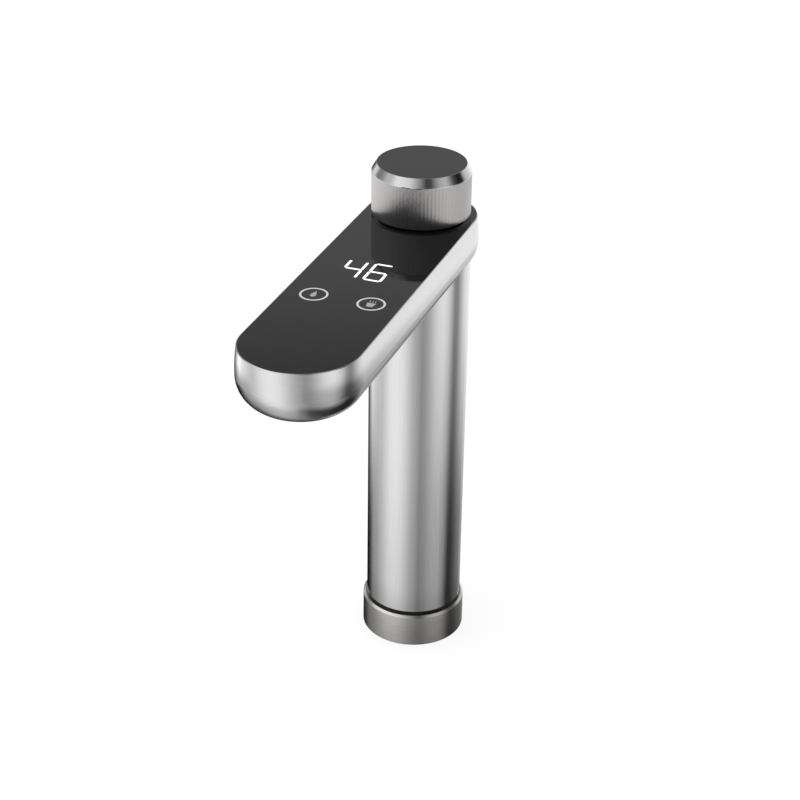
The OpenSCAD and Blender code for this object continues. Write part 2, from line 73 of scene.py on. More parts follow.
class TapSigns(PropertyGroup):
    """Sizes of the lit digits and of the printed touch keys."""

    temperature: IntProperty(
        name="Temperature", description="Number that the display shows, in degrees",
        default=46, min=10, max=99)
    digit_width: FloatProperty(
        name="Digit Width", description="Width of a digit between its upright strokes",
        default=7.1 * MM, unit="LENGTH")
    digit_height: FloatProperty(
        name="Digit Height", description="Height of a digit between its level strokes",
        default=15.3 * MM, unit="LENGTH")
    digit_pitch: FloatProperty(
        name="Digit Pitch", description="Distance between the two digits",
        default=10.75 * MM, unit="LENGTH")
    stroke: FloatProperty(
        name="Stroke", description="Width of a digit's stroke", default=1.1 * MM, unit="LENGTH")
    digits_at: FloatVectorProperty(
        name="Digits At", description="Middle of the display, seen from above", size=2,
        default=(-1.0 * MM, -63.8 * MM), subtype="TRANSLATION", unit="LENGTH")
    key_radius: FloatProperty(
        name="Key Radius", description="Outer radius of a touch key's ring",
        default=5.75 * MM, unit="LENGTH")
    key_line: FloatProperty(
        name="Key Line", description="Width of the line that draws a touch key",
        default=0.85 * MM, unit="LENGTH")
    key_pitch: FloatProperty(
        name="Key Pitch", description="Distance between the two touch keys",
        default=24.0 * MM, unit="LENGTH")
    key_y: FloatProperty(
        name="Key Place",
        description="Distance of the touch keys from the tube's axis, along the spout",
        default=91.7 * MM, unit="LENGTH")
    print_height: FloatProperty(
        name="Print Height", description="Thickness of a lit or printed sign",
        default=0.03 * MM, unit="LENGTH")


class TapFinishes(PropertyGroup):
    """Colours of the tap's visible finishes."""

    steel: FloatVectorProperty(
        name="Steel", description="Brushed steel of the tube and the spout",
        subtype="COLOR", size=3, min=0.0, max=1.0, default=(0.76, 0.76, 0.76))
    base_steel: FloatVectorProperty(
        name="Base Steel", description="Darker brushed steel of the ring at the deck",
        subtype="COLOR", size=3, min=0.0, max=1.0, default=(0.76, 0.75, 0.73))
    dial_steel: FloatVectorProperty(
        name="Dial Steel", description="Satin steel of the dial's ridged side",
        subtype="COLOR", size=3, min=0.0, max=1.0, default=(0.76, 0.745, 0.74))
    graphite: FloatVectorProperty(
        name="Graphite", description="Dark satin disc on the dial",
        subtype="COLOR", size=3, min=0.0, max=1.0, default=(0.134, 0.134, 0.136))
    glass: FloatVectorProperty(
        name="Glass", description="Black glass of the touch panel",
        subtype="COLOR", size=3, min=0.0, max=1.0, default=(0.006, 0.006, 0.0063))
    lit: FloatVectorProperty(
        name="Lit Digits", description="Light of the digits",
        subtype="COLOR", size=3, min=0.0, max=1.0, default=(1.0, 1.0, 1.0))


class TapStage(PropertyGroup):
    """View and light of the photo stage."""

    azimuth: FloatProperty(
        name="Azimuth",
        description="Turn of the camera round the tap, from the spout's end to the right",
        default=math.radians(19.63), subtype="ANGLE")
    elevation: FloatProperty(
        name="Elevation", description="Height of the camera above the level, as an angle",
        default=0.5, subtype="ANGLE")
    roll: FloatProperty(
        name="Roll", description="Tilt of the camera about its own axis",
        default=0.016, subtype="ANGLE")
    distance: FloatProperty(
        name="Distance", description="Distance from the camera to the point it looks at",
        default=0.8579, unit="LENGTH")
    target: FloatVectorProperty(
        name="Target", description="Point that the camera looks at", size=3,
        default=(-0.00729, -0.00260, 0.11850), subtype="TRANSLATION", unit="LENGTH")
    lens: FloatProperty(
        name="Lens", description="Focal length on a 36 mm sensor, in millimetres",
        default=85.38, unit="CAMERA")
    ambient: FloatProperty(
        name="Ambient", description="Even light from all sides", default=0.78, min=0.0, max=2.0)


# ---------------------------------------------------------------- nodes

def add_node(tree, kind, **values):
    """Add a node to the tree and set its properties by name."""
    node = tree.nodes.new(kind)
    for key, value in values.items():
        setattr(node, key, value)
    return node


def feed(tree, socket, value):
    """Link a socket to another one, or set it to a plain value."""
    if isinstance(value, NodeSocket):
        tree.links.new(value, socket)
    else:
        socket.default_value = value


def calculate(tree, operation, first, second=None):
    """Result of a Math node, from sockets or plain numbers."""
    node = add_node(tree, "ShaderNodeMath", operation=operation)
    feed(tree, node.inputs[0], first)
    if second is not None:
        feed(tree, node.inputs[1], second)
    return node.outputs[0]


def remap(tree, source, start, end, low=0.0, high=1.0, **values):
    """A number that goes from low to high as the source goes from start to end."""
    span = add_node(tree, "ShaderNodeMapRange", **values)
    names = ("Value", "From Min", "From Max", "To Min", "To Max")
    for name, value in zip(names, (source, start, end, low, high)):
        feed(tree, span.inputs[name], value)
    return span.outputs["Result"]


def mixed(tree, factor, first, second, **values):
    """A colour that goes from first to second with the factor."""
    mix = add_node(tree, "ShaderNodeMix", data_type="RGBA", **values)
    for name, value in (("Factor", factor), ("A", first), ("B", second)):
        feed(tree, mix.inputs[name], value)
    return mix.outputs["Result"]


def tap_space(tree):
    """Place of a point in the tap's own space."""
    return add_node(tree, "ShaderNodeTexCoord").outputs["Object"]


def tap_axes(tree):
    """X, Y and Z of a point in the tap's own space."""
    axes = add_node(tree, "ShaderNodeSeparateXYZ")
    tree.links.new(tap_space(tree), axes.inputs[0])
    return axes.outputs


def out_from_axis(tree):
    """Way to a point from the tube's axis, straight out."""
    flat = add_node(tree, "ShaderNodeVectorMath", operation="MULTIPLY")
    flat.inputs[1].default_value = (1.0, 1.0, 0.0)
    tree.links.new(tap_space(tree), flat.inputs[0])
    return flat.outputs["Vector"]


def length_of(tree, vector):
    """Length of a vector."""
    length = add_node(tree, "ShaderNodeVectorMath", operation="LENGTH")
    tree.links.new(vector, length.inputs[0])
    return length.outputs["Value"]


# ---------------------------------------------------------------- materials

# Stretch of a noise: its streaks run along the axes that have a small share
ALONG_Z = (1.0, 1.0, 0.012)
ROUND_Z = (0.018, 0.018, 1.0)
ALL_WAYS = (1.0, 1.0, 1.0)
# Scale of the noise in brushed and in turned metal, to the metre, and the depth of the marks
BRUSH_SCALE = 5200.0
LATHE_SCALE = 3800.0
MARK_DEPTH = 0.004 * MM
# Values of a noise at which a finish reaches its two ends
NOISE_LOW, NOISE_HIGH = 0.3, 0.7
# For shading only: how far the spout's flank swells, and the share by which the dial's ridges are worn
FLANK_SWELL = 2.4 * MM
RIDGE_WEAR = 0.65
# Thread in the base's socket
THREAD_PITCH = 1.5 * MM
THREAD_DEPTH = 1.2 * MM
SOCKET_RADIUS = 13.4 * MM

BRASS = (0.72, 0.56, 0.30)
PLAIN_STEEL = (0.62, 0.62, 0.61)


def start_material(name, base, roughness, metallic=0.0):
    """Return a new material, its node tree and its main shader with plain values set."""
    material = bpy.data.materials.new(name)
    material.use_nodes = True
    tree = material.node_tree
    shader = tree.nodes["Principled BSDF"]
    shader.inputs["Base Color"].default_value = (*base, 1.0)
    shader.inputs["Roughness"].default_value = roughness
    shader.inputs["Metallic"].default_value = metallic
    return material, tree, shader


def streak_noise(tree, stretch, scale, detail=3.0):
    """Noise in the tap's own space, stretched by the vector that scales each axis."""
    mapping = add_node(tree, "ShaderNodeMapping")
    mapping.inputs["Scale"].default_value = stretch
    noise = add_node(tree, "ShaderNodeTexNoise")
    noise.inputs["Scale"].default_value = scale
    noise.inputs["Detail"].default_value = detail
    noise.inputs["Roughness"].default_value = 0.6
    tree.links.new(tap_space(tree), mapping.inputs["Vector"])
    tree.links.new(mapping.outputs["Vector"], noise.inputs["Vector"])
    return noise.outputs["Fac"]


def ring_noise(tree, scale):
    """Noise that runs in circles round the tube's axis, as on a turned face."""
    noise = add_node(tree, "ShaderNodeTexNoise", noise_dimensions="1D")
    noise.inputs["Scale"].default_value = scale
    noise.inputs["Detail"].default_value = 4.0
    tree.links.new(length_of(tree, out_from_axis(tree)), noise.inputs["W"])
    return noise.outputs["Fac"]


def vary(tree, source, socket, low, high):
    """Drive a number of the shader from a texture, between low and high."""
    tree.links.new(remap(tree, source, NOISE_LOW, NOISE_HIGH, low, high), socket)


def tint(tree, source, socket, colour, spread):
    """Vary the colour by a texture: spread is the share by which it gets darker and lighter."""
    ramp = add_node(tree, "ShaderNodeValToRGB")
    dark, light = ramp.color_ramp.elements
    dark.position = NOISE_LOW
    light.position = NOISE_HIGH
    dark.color = (*[c * (1.0 - spread) for c in colour], 1.0)
    light.color = (*[min(1.0, c * (1.0 + spread)) for c in colour], 1.0)
    tree.links.new(source, ramp.inputs["Fac"])
    tree.links.new(ramp.outputs["Color"], socket)


def emboss(tree, source, shader, strength, depth):
    """Give the shader fine relief of the depth given, in metres."""
    bump = add_node(tree, "ShaderNodeBump")
    bump.inputs["Strength"].default_value = strength
    bump.inputs["Distance"].default_value = depth
    tree.links.new(source, bump.inputs["Height"])
    tree.links.new(bump.outputs["Normal"], shader.inputs["Normal"])
    return bump


def work_surface(tree, shader, texture, colour, spread, roughness, relief, depth=MARK_DEPTH):
    """Let one texture vary the colour and the roughness, from its low to its high, and the relief."""
    tint(tree, texture, shader.inputs["Base Color"], colour, spread)
    vary(tree, texture, shader.inputs["Roughness"], *roughness)
    return emboss(tree, texture, shader, relief, depth)


def worn_ridges(tree, share):
    """Direction of a ridged side, turned by the share given towards a plain wall round the axis."""
    outward = add_node(tree, "ShaderNodeVectorTransform", vector_type="NORMAL",
                       convert_from="OBJECT", convert_to="WORLD")
    surface = add_node(tree, "ShaderNodeNewGeometry")
    mix = add_node(tree, "ShaderNodeMix", data_type="VECTOR")
    mix.inputs["Factor"].default_value = share
    unit = add_node(tree, "ShaderNodeVectorMath", operation="NORMALIZE")
    tree.links.new(out_from_axis(tree), outward.inputs["Vector"])
    tree.links.new(surface.outputs["Normal"], mix.inputs[4])
    tree.links.new(outward.outputs["Vector"], mix.inputs[5])
    tree.links.new(mix.outputs[1], unit.inputs[0])
    return unit.outputs["Vector"]


def full_flank(tree, low, high, swell):
    """Direction of a flank that is a little fuller than the ready wall, from its foot to its top."""
    bump = add_node(tree, "ShaderNodeBump")
    bump.inputs["Distance"].default_value = swell
    rise = remap(tree, tap_axes(tree)["Z"], low, high, interpolation_type="SMOOTHSTEP")
    tree.links.new(rise, bump.inputs["Height"])
    return bump.outputs["Normal"]


def brushed_steel(name, colour, roughness, stretch, spread=0.05, relief=0.25):
    """Steel brushed along the axes that stretch leaves long."""
    material, tree, shader = start_material(name, colour, roughness, 1.0)
    lines = streak_noise(tree, stretch, BRUSH_SCALE)
    ends = (roughness - 0.035, roughness + 0.035)
    work_surface(tree, shader, lines, colour, spread, ends, relief)
    return material


def spout_steel(name, colour):
    """Steel of the spout, brushed along its flanks, which swell a little."""
    material, tree, shader = start_material(name, colour, 0.18, 1.0)
    lines = streak_noise(tree, ROUND_Z, BRUSH_SCALE)
    bump = work_surface(tree, shader, lines, colour, 0.04, (0.15, 0.21), 0.25)
    low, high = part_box("spout_shell")[0].z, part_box("touch_panel")[1].z
    tree.links.new(full_flank(tree, low, high, FLANK_SWELL), bump.inputs["Normal"])
    return material


def ridged_steel(name, colour):
    """Satin steel of a finely ridged side, which spreads what it mirrors round the axis."""
    material, tree, shader = start_material(name, colour, 0.38, 1.0)
    lines = streak_noise(tree, ALONG_Z, BRUSH_SCALE)
    bump = work_surface(tree, shader, lines, colour, 0.05, (0.35, 0.41), 0.15)
    round_axis = add_node(tree, "ShaderNodeTangent", direction_type="RADIAL", axis="Z")
    shader.inputs["Anisotropic"].default_value = 0.96
    tree.links.new(round_axis.outputs["Tangent"], shader.inputs["Tangent"])
    tree.links.new(worn_ridges(tree, RIDGE_WEAR), bump.inputs["Normal"])
    return material


def turned_metal(name, colour, roughness, relief=0.2):
    """Metal turned on a lathe, with fine circles round the tube's axis."""
    material, tree, shader = start_material(name, colour, roughness, 1.0)
    ends = (roughness - 0.03, roughness + 0.04)
    work_surface(tree, shader, ring_noise(tree, LATHE_SCALE), colour, 0.05, ends, relief)
    return material


def satin_graphite(name, colour):
    """Dark satin metal of the disc, spun in fine circles."""
    material, tree, shader = start_material(name, colour, 0.36, 1.0)
    circles = ring_noise(tree, 3000.0)
    work_surface(tree, shader, circles, colour, 0.05, (0.33, 0.40), 0.15, 0.003 * MM)
    return material


def moulded_plastic(name, colour, roughness, grain=1500.0):
    """Moulded plastic or rubber with a fine grain."""
    material, tree, shader = start_material(name, colour, roughness)
    specks = streak_noise(tree, ALL_WAYS, grain, 2.0)
    ends = (roughness - 0.05, roughness + 0.05)
    work_surface(tree, shader, specks, colour, 0.06, ends, 0.3, 0.01 * MM)
    return material


def threaded_brass(name, colour, pitch, radius):
    """Machined brass whose socket, inside the radius given, carries a thread of the pitch given."""
    material, tree, shader = start_material(name, colour, 0.28, 1.0)
    marks = streak_noise(tree, (0.02, 0.02, 1.0), BRUSH_SCALE)
    tint(tree, marks, shader.inputs["Base Color"], colour, 0.06)
    vary(tree, marks, shader.inputs["Roughness"], 0.22, 0.34)
    axes = tap_axes(tree)
    angle = calculate(tree, "ARCTAN2", axes["X"], axes["Y"])
    turns = calculate(tree, "DIVIDE", angle, 2.0 * math.pi)
    rise = calculate(tree, "DIVIDE", axes["Z"], pitch)
    wave = calculate(tree, "PINGPONG", calculate(tree, "ADD", rise, turns), 0.5)
    inside = calculate(tree, "LESS_THAN", length_of(tree, out_from_axis(tree)), radius)
    thread = calculate(tree, "MULTIPLY", wave, inside)
    emboss(tree, thread, shader, 1.0, THREAD_DEPTH)
    return material


def black_glass(name, colour):
    """Polished black glass with a faint unevenness in its gloss."""
    material, tree, shader = start_material(name, colour, 0.05)
    shader.inputs["IOR"].default_value = 1.5
    haze = streak_noise(tree, ALL_WAYS, 60.0, 5.0)
    vary(tree, haze, shader.inputs["Roughness"], 0.035, 0.075)
    tint(tree, haze, shader.inputs["Base Color"], colour, 0.12)
    return material


def light_sign(name, colour, strength):
    """A sign that shines through the glass."""
    material, tree, shader = start_material(name, [0.8 * c for c in colour], 0.4)
    shader.inputs["Emission Color"].default_value = (*colour, 1.0)
    shader.inputs["Emission Strength"].default_value = strength
    specks = streak_noise(tree, ALL_WAYS, 900.0, 2.0)
    vary(tree, specks, shader.inputs["Roughness"], 0.35, 0.45)
    return material


def circuit_board(name):
    """Green board with lighter copper tracks under its mask."""
    material, tree, shader = start_material(name, (0.02, 0.16, 0.07), 0.32)
    tracks = add_node(tree, "ShaderNodeTexBrick", offset=0.37, squash=0.6, squash_frequency=3)
    tracks.inputs["Scale"].default_value = 320.0
    tracks.inputs["Mortar Size"].default_value = 0.012
    tracks.inputs["Color1"].default_value = (0.020, 0.15, 0.065, 1.0)
    tracks.inputs["Color2"].default_value = (0.026, 0.19, 0.080, 1.0)
    tracks.inputs["Mortar"].default_value = (0.060, 0.30, 0.130, 1.0)
    tree.links.new(tap_space(tree), tracks.inputs["Vector"])
    tree.links.new(tracks.outputs["Color"], shader.inputs["Base Color"])
    emboss(tree, tracks.outputs["Fac"], shader, 0.4, 0.02 * MM)
    return material


# ---------------------------------------------------------------- shapes

def dress(material, *nodes):
    """Give ready solids the finish made for them."""
    for node in nodes:
        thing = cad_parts[node]
        if not thing.material_slots:
            thing.data.materials.append(material)
        for slot in thing.material_slots:
            slot.material = material


def new_piece(name, mesh_maker, material, body):
    """Make a piece from a bmesh, with its finish, on the body that carries it."""
    mesh = bpy.data.meshes.new(name)
    work = bmesh.new()
    mesh_maker(work)
    bmesh.ops.recalc_face_normals(work, faces=work.faces)
    work.to_mesh(mesh)
    work.free()
    piece = bpy.data.objects.new(name, mesh)
    bpy.context.scene.collection.objects.link(piece)
    piece.data.materials.append(material)
    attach(piece, body)
    return piece


def spin(work, profile, centre=(0.0, 0.0), steps=96):
    """Add a ring round an upright axis, with the closed section of radii and heights given."""
    loops = []
    for radius, height in profile:
        angles = [2 * math.pi * i / steps for i in range(steps)]
        loops.append([
            work.verts.new((centre[0] + radius * math.cos(a), centre[1] + radius * math.sin(a), height))
            for a in angles
        ])
    for one, two in zip(loops, loops[1:] + loops[:1]):
        for i in range(steps):
            j = (i + 1) % steps
            work.faces.new((one[i], one[j], two[j], two[i]))


def plate(work, outline, low, high):
    """Add a thin plate with the outline given."""
    floor = [work.verts.new((x, y, low)) for x, y in outline]
    roof = [work.verts.new((x, y, high)) for x, y in outline]
    work.faces.new(floor)
    work.faces.new(roof)
    for i in range(len(outline)):
        j = (i + 1) % len(outline)
        work.faces.new((floor[i], floor[j], roof[j], roof[i]))


# ---------------------------------------------------------------- finishes

class TAP_OT_body_finish(Operator):
    """Brushed steel on the base ring, the tube and the spout"""

    bl_idname = "tap.body_finish"
    bl_label = "Finish Base, Tube and Spout"

    def execute(self, context):
        finish = context.scene.tap_finishes
        dress(brushed_steel("base_brushed", finish.base_steel, 0.22, ROUND_Z, spread=0.12, relief=0.35),
              "base_ring")
        dress(brushed_steel("tube_brushed", finish.steel, 0.13, ALONG_Z), "body_tube")
        dress(spout_steel("spout_brushed", finish.steel), "spout_shell")
        return {"FINISHED"}


class TAP_OT_panel_finish(Operator):
    """Black glass on the touch panel, with its adhesive gasket"""

    bl_idname = "tap.panel_finish"
    bl_label = "Finish Touch Panel"

    def execute(self, context):
        finish = context.scene.tap_finishes
        dress(black_glass("panel_glass", finish.glass), "touch_panel")
        dress(moulded_plastic("gasket_foam", (0.03, 0.03, 0.03), 0.8, grain=2500.0), "panel_gasket")
        return {"FINISHED"}


class TAP_OT_dial_finish(Operator):
    """Satin ridges, polished chamfer and graphite disc of the dial"""

    bl_idname = "tap.dial_finish"
    bl_label = "Finish Dial"

    def execute(self, context):
        finish = context.scene.tap_finishes
        dress(ridged_steel("dial_ridges", finish.dial_steel), "dial_sleeve")
        dress(turned_metal("dial_chamfer", (0.80, 0.79, 0.79), 0.10, relief=0.1), "dial_trim_ring")
        dress(satin_graphite("dial_graphite", finish.graphite), "dial_cap")
        return {"FINISHED"}


class TAP_OT_outlet_finish(Operator):
    """Polished nozzle, its seal and the white flow straightener"""

    bl_idname = "tap.outlet_finish"
    bl_label = "Finish Outlet"

    def execute(self, context):
        dress(turned_metal("nozzle_polish", (0.78, 0.78, 0.78), 0.12, relief=0.1), "outlet_nozzle")
        dress(moulded_plastic("seal_rubber", (0.03, 0.03, 0.03), 0.6), "nozzle_seal")
        dress(moulded_plastic("straightener_white", (0.80, 0.80, 0.78), 0.45), "flow_straightener")
        return {"FINISHED"}


class TAP_OT_inner_finish(Operator):
    """Brass, rubber, plastic and steel of the pieces inside the base, the tube and the spout"""

    bl_idname = "tap.inner_finish"
    bl_label = "Finish Inner Pieces"

    def execute(self, context):
        dress(threaded_brass("post_brass", BRASS, THREAD_PITCH, SOCKET_RADIUS), "base_post")
        dress(moulded_plastic("rubber_black", (0.028, 0.028, 0.028), 0.65),
              "deck_gasket", "post_seals", "inlet_washer")
        dress(moulded_plastic("seam_black", (0.010, 0.010, 0.010), 0.55), "slide_ring")
        dress(moulded_plastic("bearing_white", (0.80, 0.80, 0.77), 0.42),
              "thrust_washer", "tube_bush", "fitting_collet", "encoder_rotor")
        dress(turned_metal("carrier_brass", BRASS, 0.27), "inlet_carrier")
        dress(moulded_plastic("housing_grey", (0.10, 0.10, 0.105), 0.5),
              "inlet_fitting", "encoder_housing", "digit_module")
        dress(moulded_plastic("lead_black", (0.02, 0.02, 0.02), 0.5), "lead_socket", "signal_lead")
        dress(turned_metal("plain_steel", PLAIN_STEEL, 0.22),
              "stop_pin", "retaining_clip", "touch_springs", "board_screws", "encoder_washer",
              "encoder_nut", "encoder_shaft")
        dress(moulded_plastic("pipe_milky", (0.80, 0.83, 0.85), 0.3), "water_pipe")
        dress(circuit_board("board_green"), "control_board")
        return {"FINISHED"}


# ---------------------------------------------------------------- signs on the panel

# Gap between the panel's face and a sign
SIGN_LIFT = 0.005 * MM
# Strokes of a digit, as lines between points in shares of its width and height from its middle
STROKES = {
    "a": ((-0.5, 0.5), (0.5, 0.5)),
    "b": ((0.5, 0.5), (0.5, 0.0)),
    "c": ((0.5, 0.0), (0.5, -0.5)),
    "d": ((-0.5, -0.5), (0.5, -0.5)),
    "e": ((-0.5, 0.0), (-0.5, -0.5)),
    "f": ((-0.5, 0.5), (-0.5, 0.0)),
    "g": ((-0.5, 0.0), (0.5, 0.0)),
}
STROKE_GAP = 0.12 * MM
DIGITS = {
    "0": "abcdef", "1": "bc", "2": "abged", "3": "abgcd", "4": "fgbc",
    "5": "afgcd", "6": "afgedc", "7": "abc", "8": "abcdefg", "9": "abfgcd",
}
# Sizes of the drop and of the tumbler in the touch keys
DROP_SIZE = 2.7 * MM
CUP_SIZE = 2.4 * MM


def sign_heights(signs):
    """Heights of a sign's foot and top."""
    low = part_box("touch_panel")[1].z + SIGN_LIFT
    return low, low + signs.print_height


def stroke_outline(start, end, width, gap):
    """A stroke with pointed ends, shortened by a gap at each end."""
    along = (Vector(end) - Vector(start)).normalized()
    across = Vector((-along.y, along.x)) * width / 2
    first = Vector(start) + along * gap
    last = Vector(end) - along * gap
    point = along * width / 2
    return [first, first + point + across, last - point + across, last, last - point - across,
            first + point - across]


class TAP_OT_lit_digits(Operator):
    """The two lit digits that shine through the panel"""

    bl_idname = "tap.lit_digits"
    bl_label = "Lit Digits"

    def execute(self, context):
        signs = context.scene.tap_signs
        lit = light_sign("digit_light", context.scene.tap_finishes.lit, 0.9)
        low, high = sign_heights(signs)
        for place, figure in enumerate(f"{signs.temperature:02d}"):
            middle_x = signs.digits_at[0] + (place - 0.5) * signs.digit_pitch
            middle = Vector((middle_x, signs.digits_at[1]))

            def strokes(work):
                for key in DIGITS[figure]:
                    start, end = [middle + Vector((u * signs.digit_width, v * signs.digit_height))
                                  for u, v in STROKES[key]]
                    plate(work, stroke_outline(start, end, signs.stroke, STROKE_GAP), low, high)

            new_piece(f"lit_digit_{place + 1}", strokes, lit, "spout")
        return {"FINISHED"}


def drop_outline(size, steps=28):
    """A falling drop: a round foot that runs up to a point."""
    outline = []
    for i in range(steps):
        turn = 2 * math.pi * i / steps
        pull = math.sin(turn / 2) ** 1.6
        outline.append((size * 0.62 * math.sin(turn) * pull, size * (0.15 + math.cos(turn))))
    return outline


def cup_outline(size):
    """A small tumbler, wider at its rim."""
    return [(-0.78 * size, 0.45 * size), (-0.52 * size, -0.95 * size), (0.52 * size, -0.95 * size),
            (0.78 * size, 0.45 * size)]


class TAP_OT_touch_keys(Operator):
    """The printed rings of the two touch keys, each with its small sign, all with a faint painted glow
    """

    bl_idname = "tap.touch_keys"
    bl_label = "Touch Keys"

    def execute(self, context):
        signs = context.scene.tap_signs
        # Painted glow: the printed rings and signs are given a faint light of their own
        print_ink_glow = light_sign("key_print_glow", (0.80, 0.80, 0.79), 0.12)
        sign_ink_glow = light_sign("key_sign_glow", (0.52, 0.51, 0.50), 0.05)
        low, high = sign_heights(signs)
        left = Vector((-signs.key_pitch / 2, -signs.key_y))
        right = Vector((signs.key_pitch / 2, -signs.key_y))
        outer, inner = signs.key_radius, signs.key_radius - signs.key_line
        section = ((outer, low), (outer, high), (inner, high), (inner, low))
        for name, centre in (("key_ring_left", left), ("key_ring_right", right)):

            def ring(work):
                spin(work, section, centre)

            new_piece(name, ring, print_ink_glow, "spout")

        def drop(work):
            plate(work, [(left.x + x, left.y + y) for x, y in drop_outline(DROP_SIZE)], low, high)

        def cup(work):
            foot = right.y - 0.3 * MM
            plate(work, [(right.x + x, foot + y) for x, y in cup_outline(CUP_SIZE)], low, high)
            for x in (-1.1, 0.0, 1.1):
                bar = [(right.x + (x + dx) * MM, right.y + dy * MM)
                       for dx, dy in ((-0.2, 1.4), (0.2, 1.4), (0.2, 2.7), (-0.2, 2.7))]
                plate(work, bar, low, high)

        new_piece("key_sign_drop", drop, sign_ink_glow, "spout")
        new_piece("key_sign_cup", cup, sign_ink_glow, "spout")
        return {"FINISHED"}


# ---------------------------------------------------------------- snap dome

class TAP_OT_snap_dome(Operator):
    """The snap dome under the dial's shaft"""

    bl_idname = "tap.snap_dome"
    bl_label = "Snap Dome"

    def execute(self, context):
        low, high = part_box("press_dome")
        height = high.z - low.z
        wall = 0.2 * MM
        arc = [math.radians(angle) for angle in range(0, 85, 12)]
        outer = [(high.x * math.cos(a), low.z + height * math.sin(a)) for a in arc]
        inner = [((high.x - wall) * math.cos(a), low.z + (height - wall) * math.sin(a)) for a in arc]

        def dome(work):
            spin(work, outer + inner[::-1], steps=48)

        steel = turned_metal("dome_steel", PLAIN_STEEL, 0.22)
        piece = new_piece("snap_dome", dome, steel, "spout")
        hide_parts("press_dome")
        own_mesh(piece)
        return {"FINISHED"}


# ---------------------------------------------------------------- stage

# Brightness of the studio that shiny surfaces see. Most of it goes by the angle round the tap from the
# camera, in degrees, to the right positive. WALLS is level with the tap: a long lit panel on each side
# with a dark gap between, and dark flags behind. BACK dims the walls towards their foot, and SKIRT lies
# below them. RISE is above the level, SKY higher, and ZENITH overhead. GROUND, right below, goes by how
# far a line of sight leans to the right.
WALLS = (
    (-160, 0.05), (-150, 0.38), (-140, 1.00), (-130, 1.40), (-120, 1.05), (-104, 0.85), (-90, 0.66),
    (-66, 1.00), (-50, 1.05), (-34, 0.95), (-10, 0.54), (10, 0.34), (24, 0.50), (44, 0.90),
    (60, 1.00), (74, 0.78), (90, 0.28), (100, 0.30), (112, 0.60), (126, 0.88), (144, 1.00),
)
BACK = (
    (-150, 0.03), (-140, 0.05), (-130, 0.13), (-120, 0.36), (-104, 0.55), (-90, 1.00), (0, 1.00),
    (14, 0.80), (44, 0.55), (60, 0.50), (76, 0.40), (90, 0.12), (112, 0.17), (138, 0.27),
    (152, 0.44), (176, 0.60),
)
SKIRT = (
    (-150, 0.10), (-125, 0.32), (-100, 0.48), (-75, 0.85), (-45, 1.00), (-5, 0.50), (20, 0.30),
    (65, 0.52), (85, 0.30), (110, 0.02), (152, 0.02), (175, 0.25),
)
GROUND = ((-0.6, 0.40), (-0.3, 0.60), (-0.1, 0.45), (0.1, 0.10), (0.25, 0.05), (0.5, 0.02))
RISE = (
    (-150, 0.48), (-130, 0.40), (-118, 0.20), (-104, 0.30), (-90, 0.58), (-78, 0.45), (-66, 0.06),
    (84, 0.06), (94, 0.01), (106, 0.02), (114, 0.42), (123, 0.65), (134, 0.60), (150, 0.48),
)
SKY = (
    (-150, 0.20), (-128, 0.40), (-112, 0.52), (-100, 0.88), (-84, 1.00), (-62, 0.95), (-30, 0.75),
    (-12, 0.40), (4, 0.16), (12, 0.05), (24, 0.07), (44, 0.42), (60, 0.55), (78, 0.40), (92, 0.02),
    (128, 0.40), (150, 0.20),
)
ZENITH = 0.10
# Painted shadow round the tap's foot, as shiny walls see the floor: the share of the studio that they
# see by way of the floor, by the distance from the tap's axis in mm, and the distance, in metres, that
# the ramp covers
PAINTED_FLOOR_SHADOW = ((0, 0.30), (35, 0.50), (65, 0.80), (120, 0.90), (200, 1.00))
FLOOR_REACH = 0.4
# Half of the floor's side, in metres
FLOOR_HALF = 4.0
# Name, place, size and power of each lamp, and the point that they face
LAMPS = (
    ("lamp_over", (-0.5, -0.5, 1.5), 1.4, 4.0),
    ("lamp_right", (1.2, -0.6, 0.9), 1.2, 1.5),
)
LAMP_AIM = (0.0, 0.0, 0.1)
# Width of the camera's sensor, in mm
SENSOR = 36.0


def plain(value):
    """A grey of the brightness given."""
    return (value, value, value, 1.0)


def ramp_of(tree, stops, low, high, source):
    """Brightness by a number from low to high, with the stops given."""
    node = add_node(tree, "ShaderNodeValToRGB")
    places = node.color_ramp.elements
    for place, value in stops[1:-1]:
        places.new((place - low) / (high - low)).color = plain(value)
    for element, stop in ((places[0], stops[0]), (places[len(places) - 1], stops[-1])):
        element.position = (stop[0] - low) / (high - low)
        element.color = plain(stop[1])
    tree.links.new(remap(tree, source, low, high), node.inputs["Fac"])
    return node.outputs["Color"]


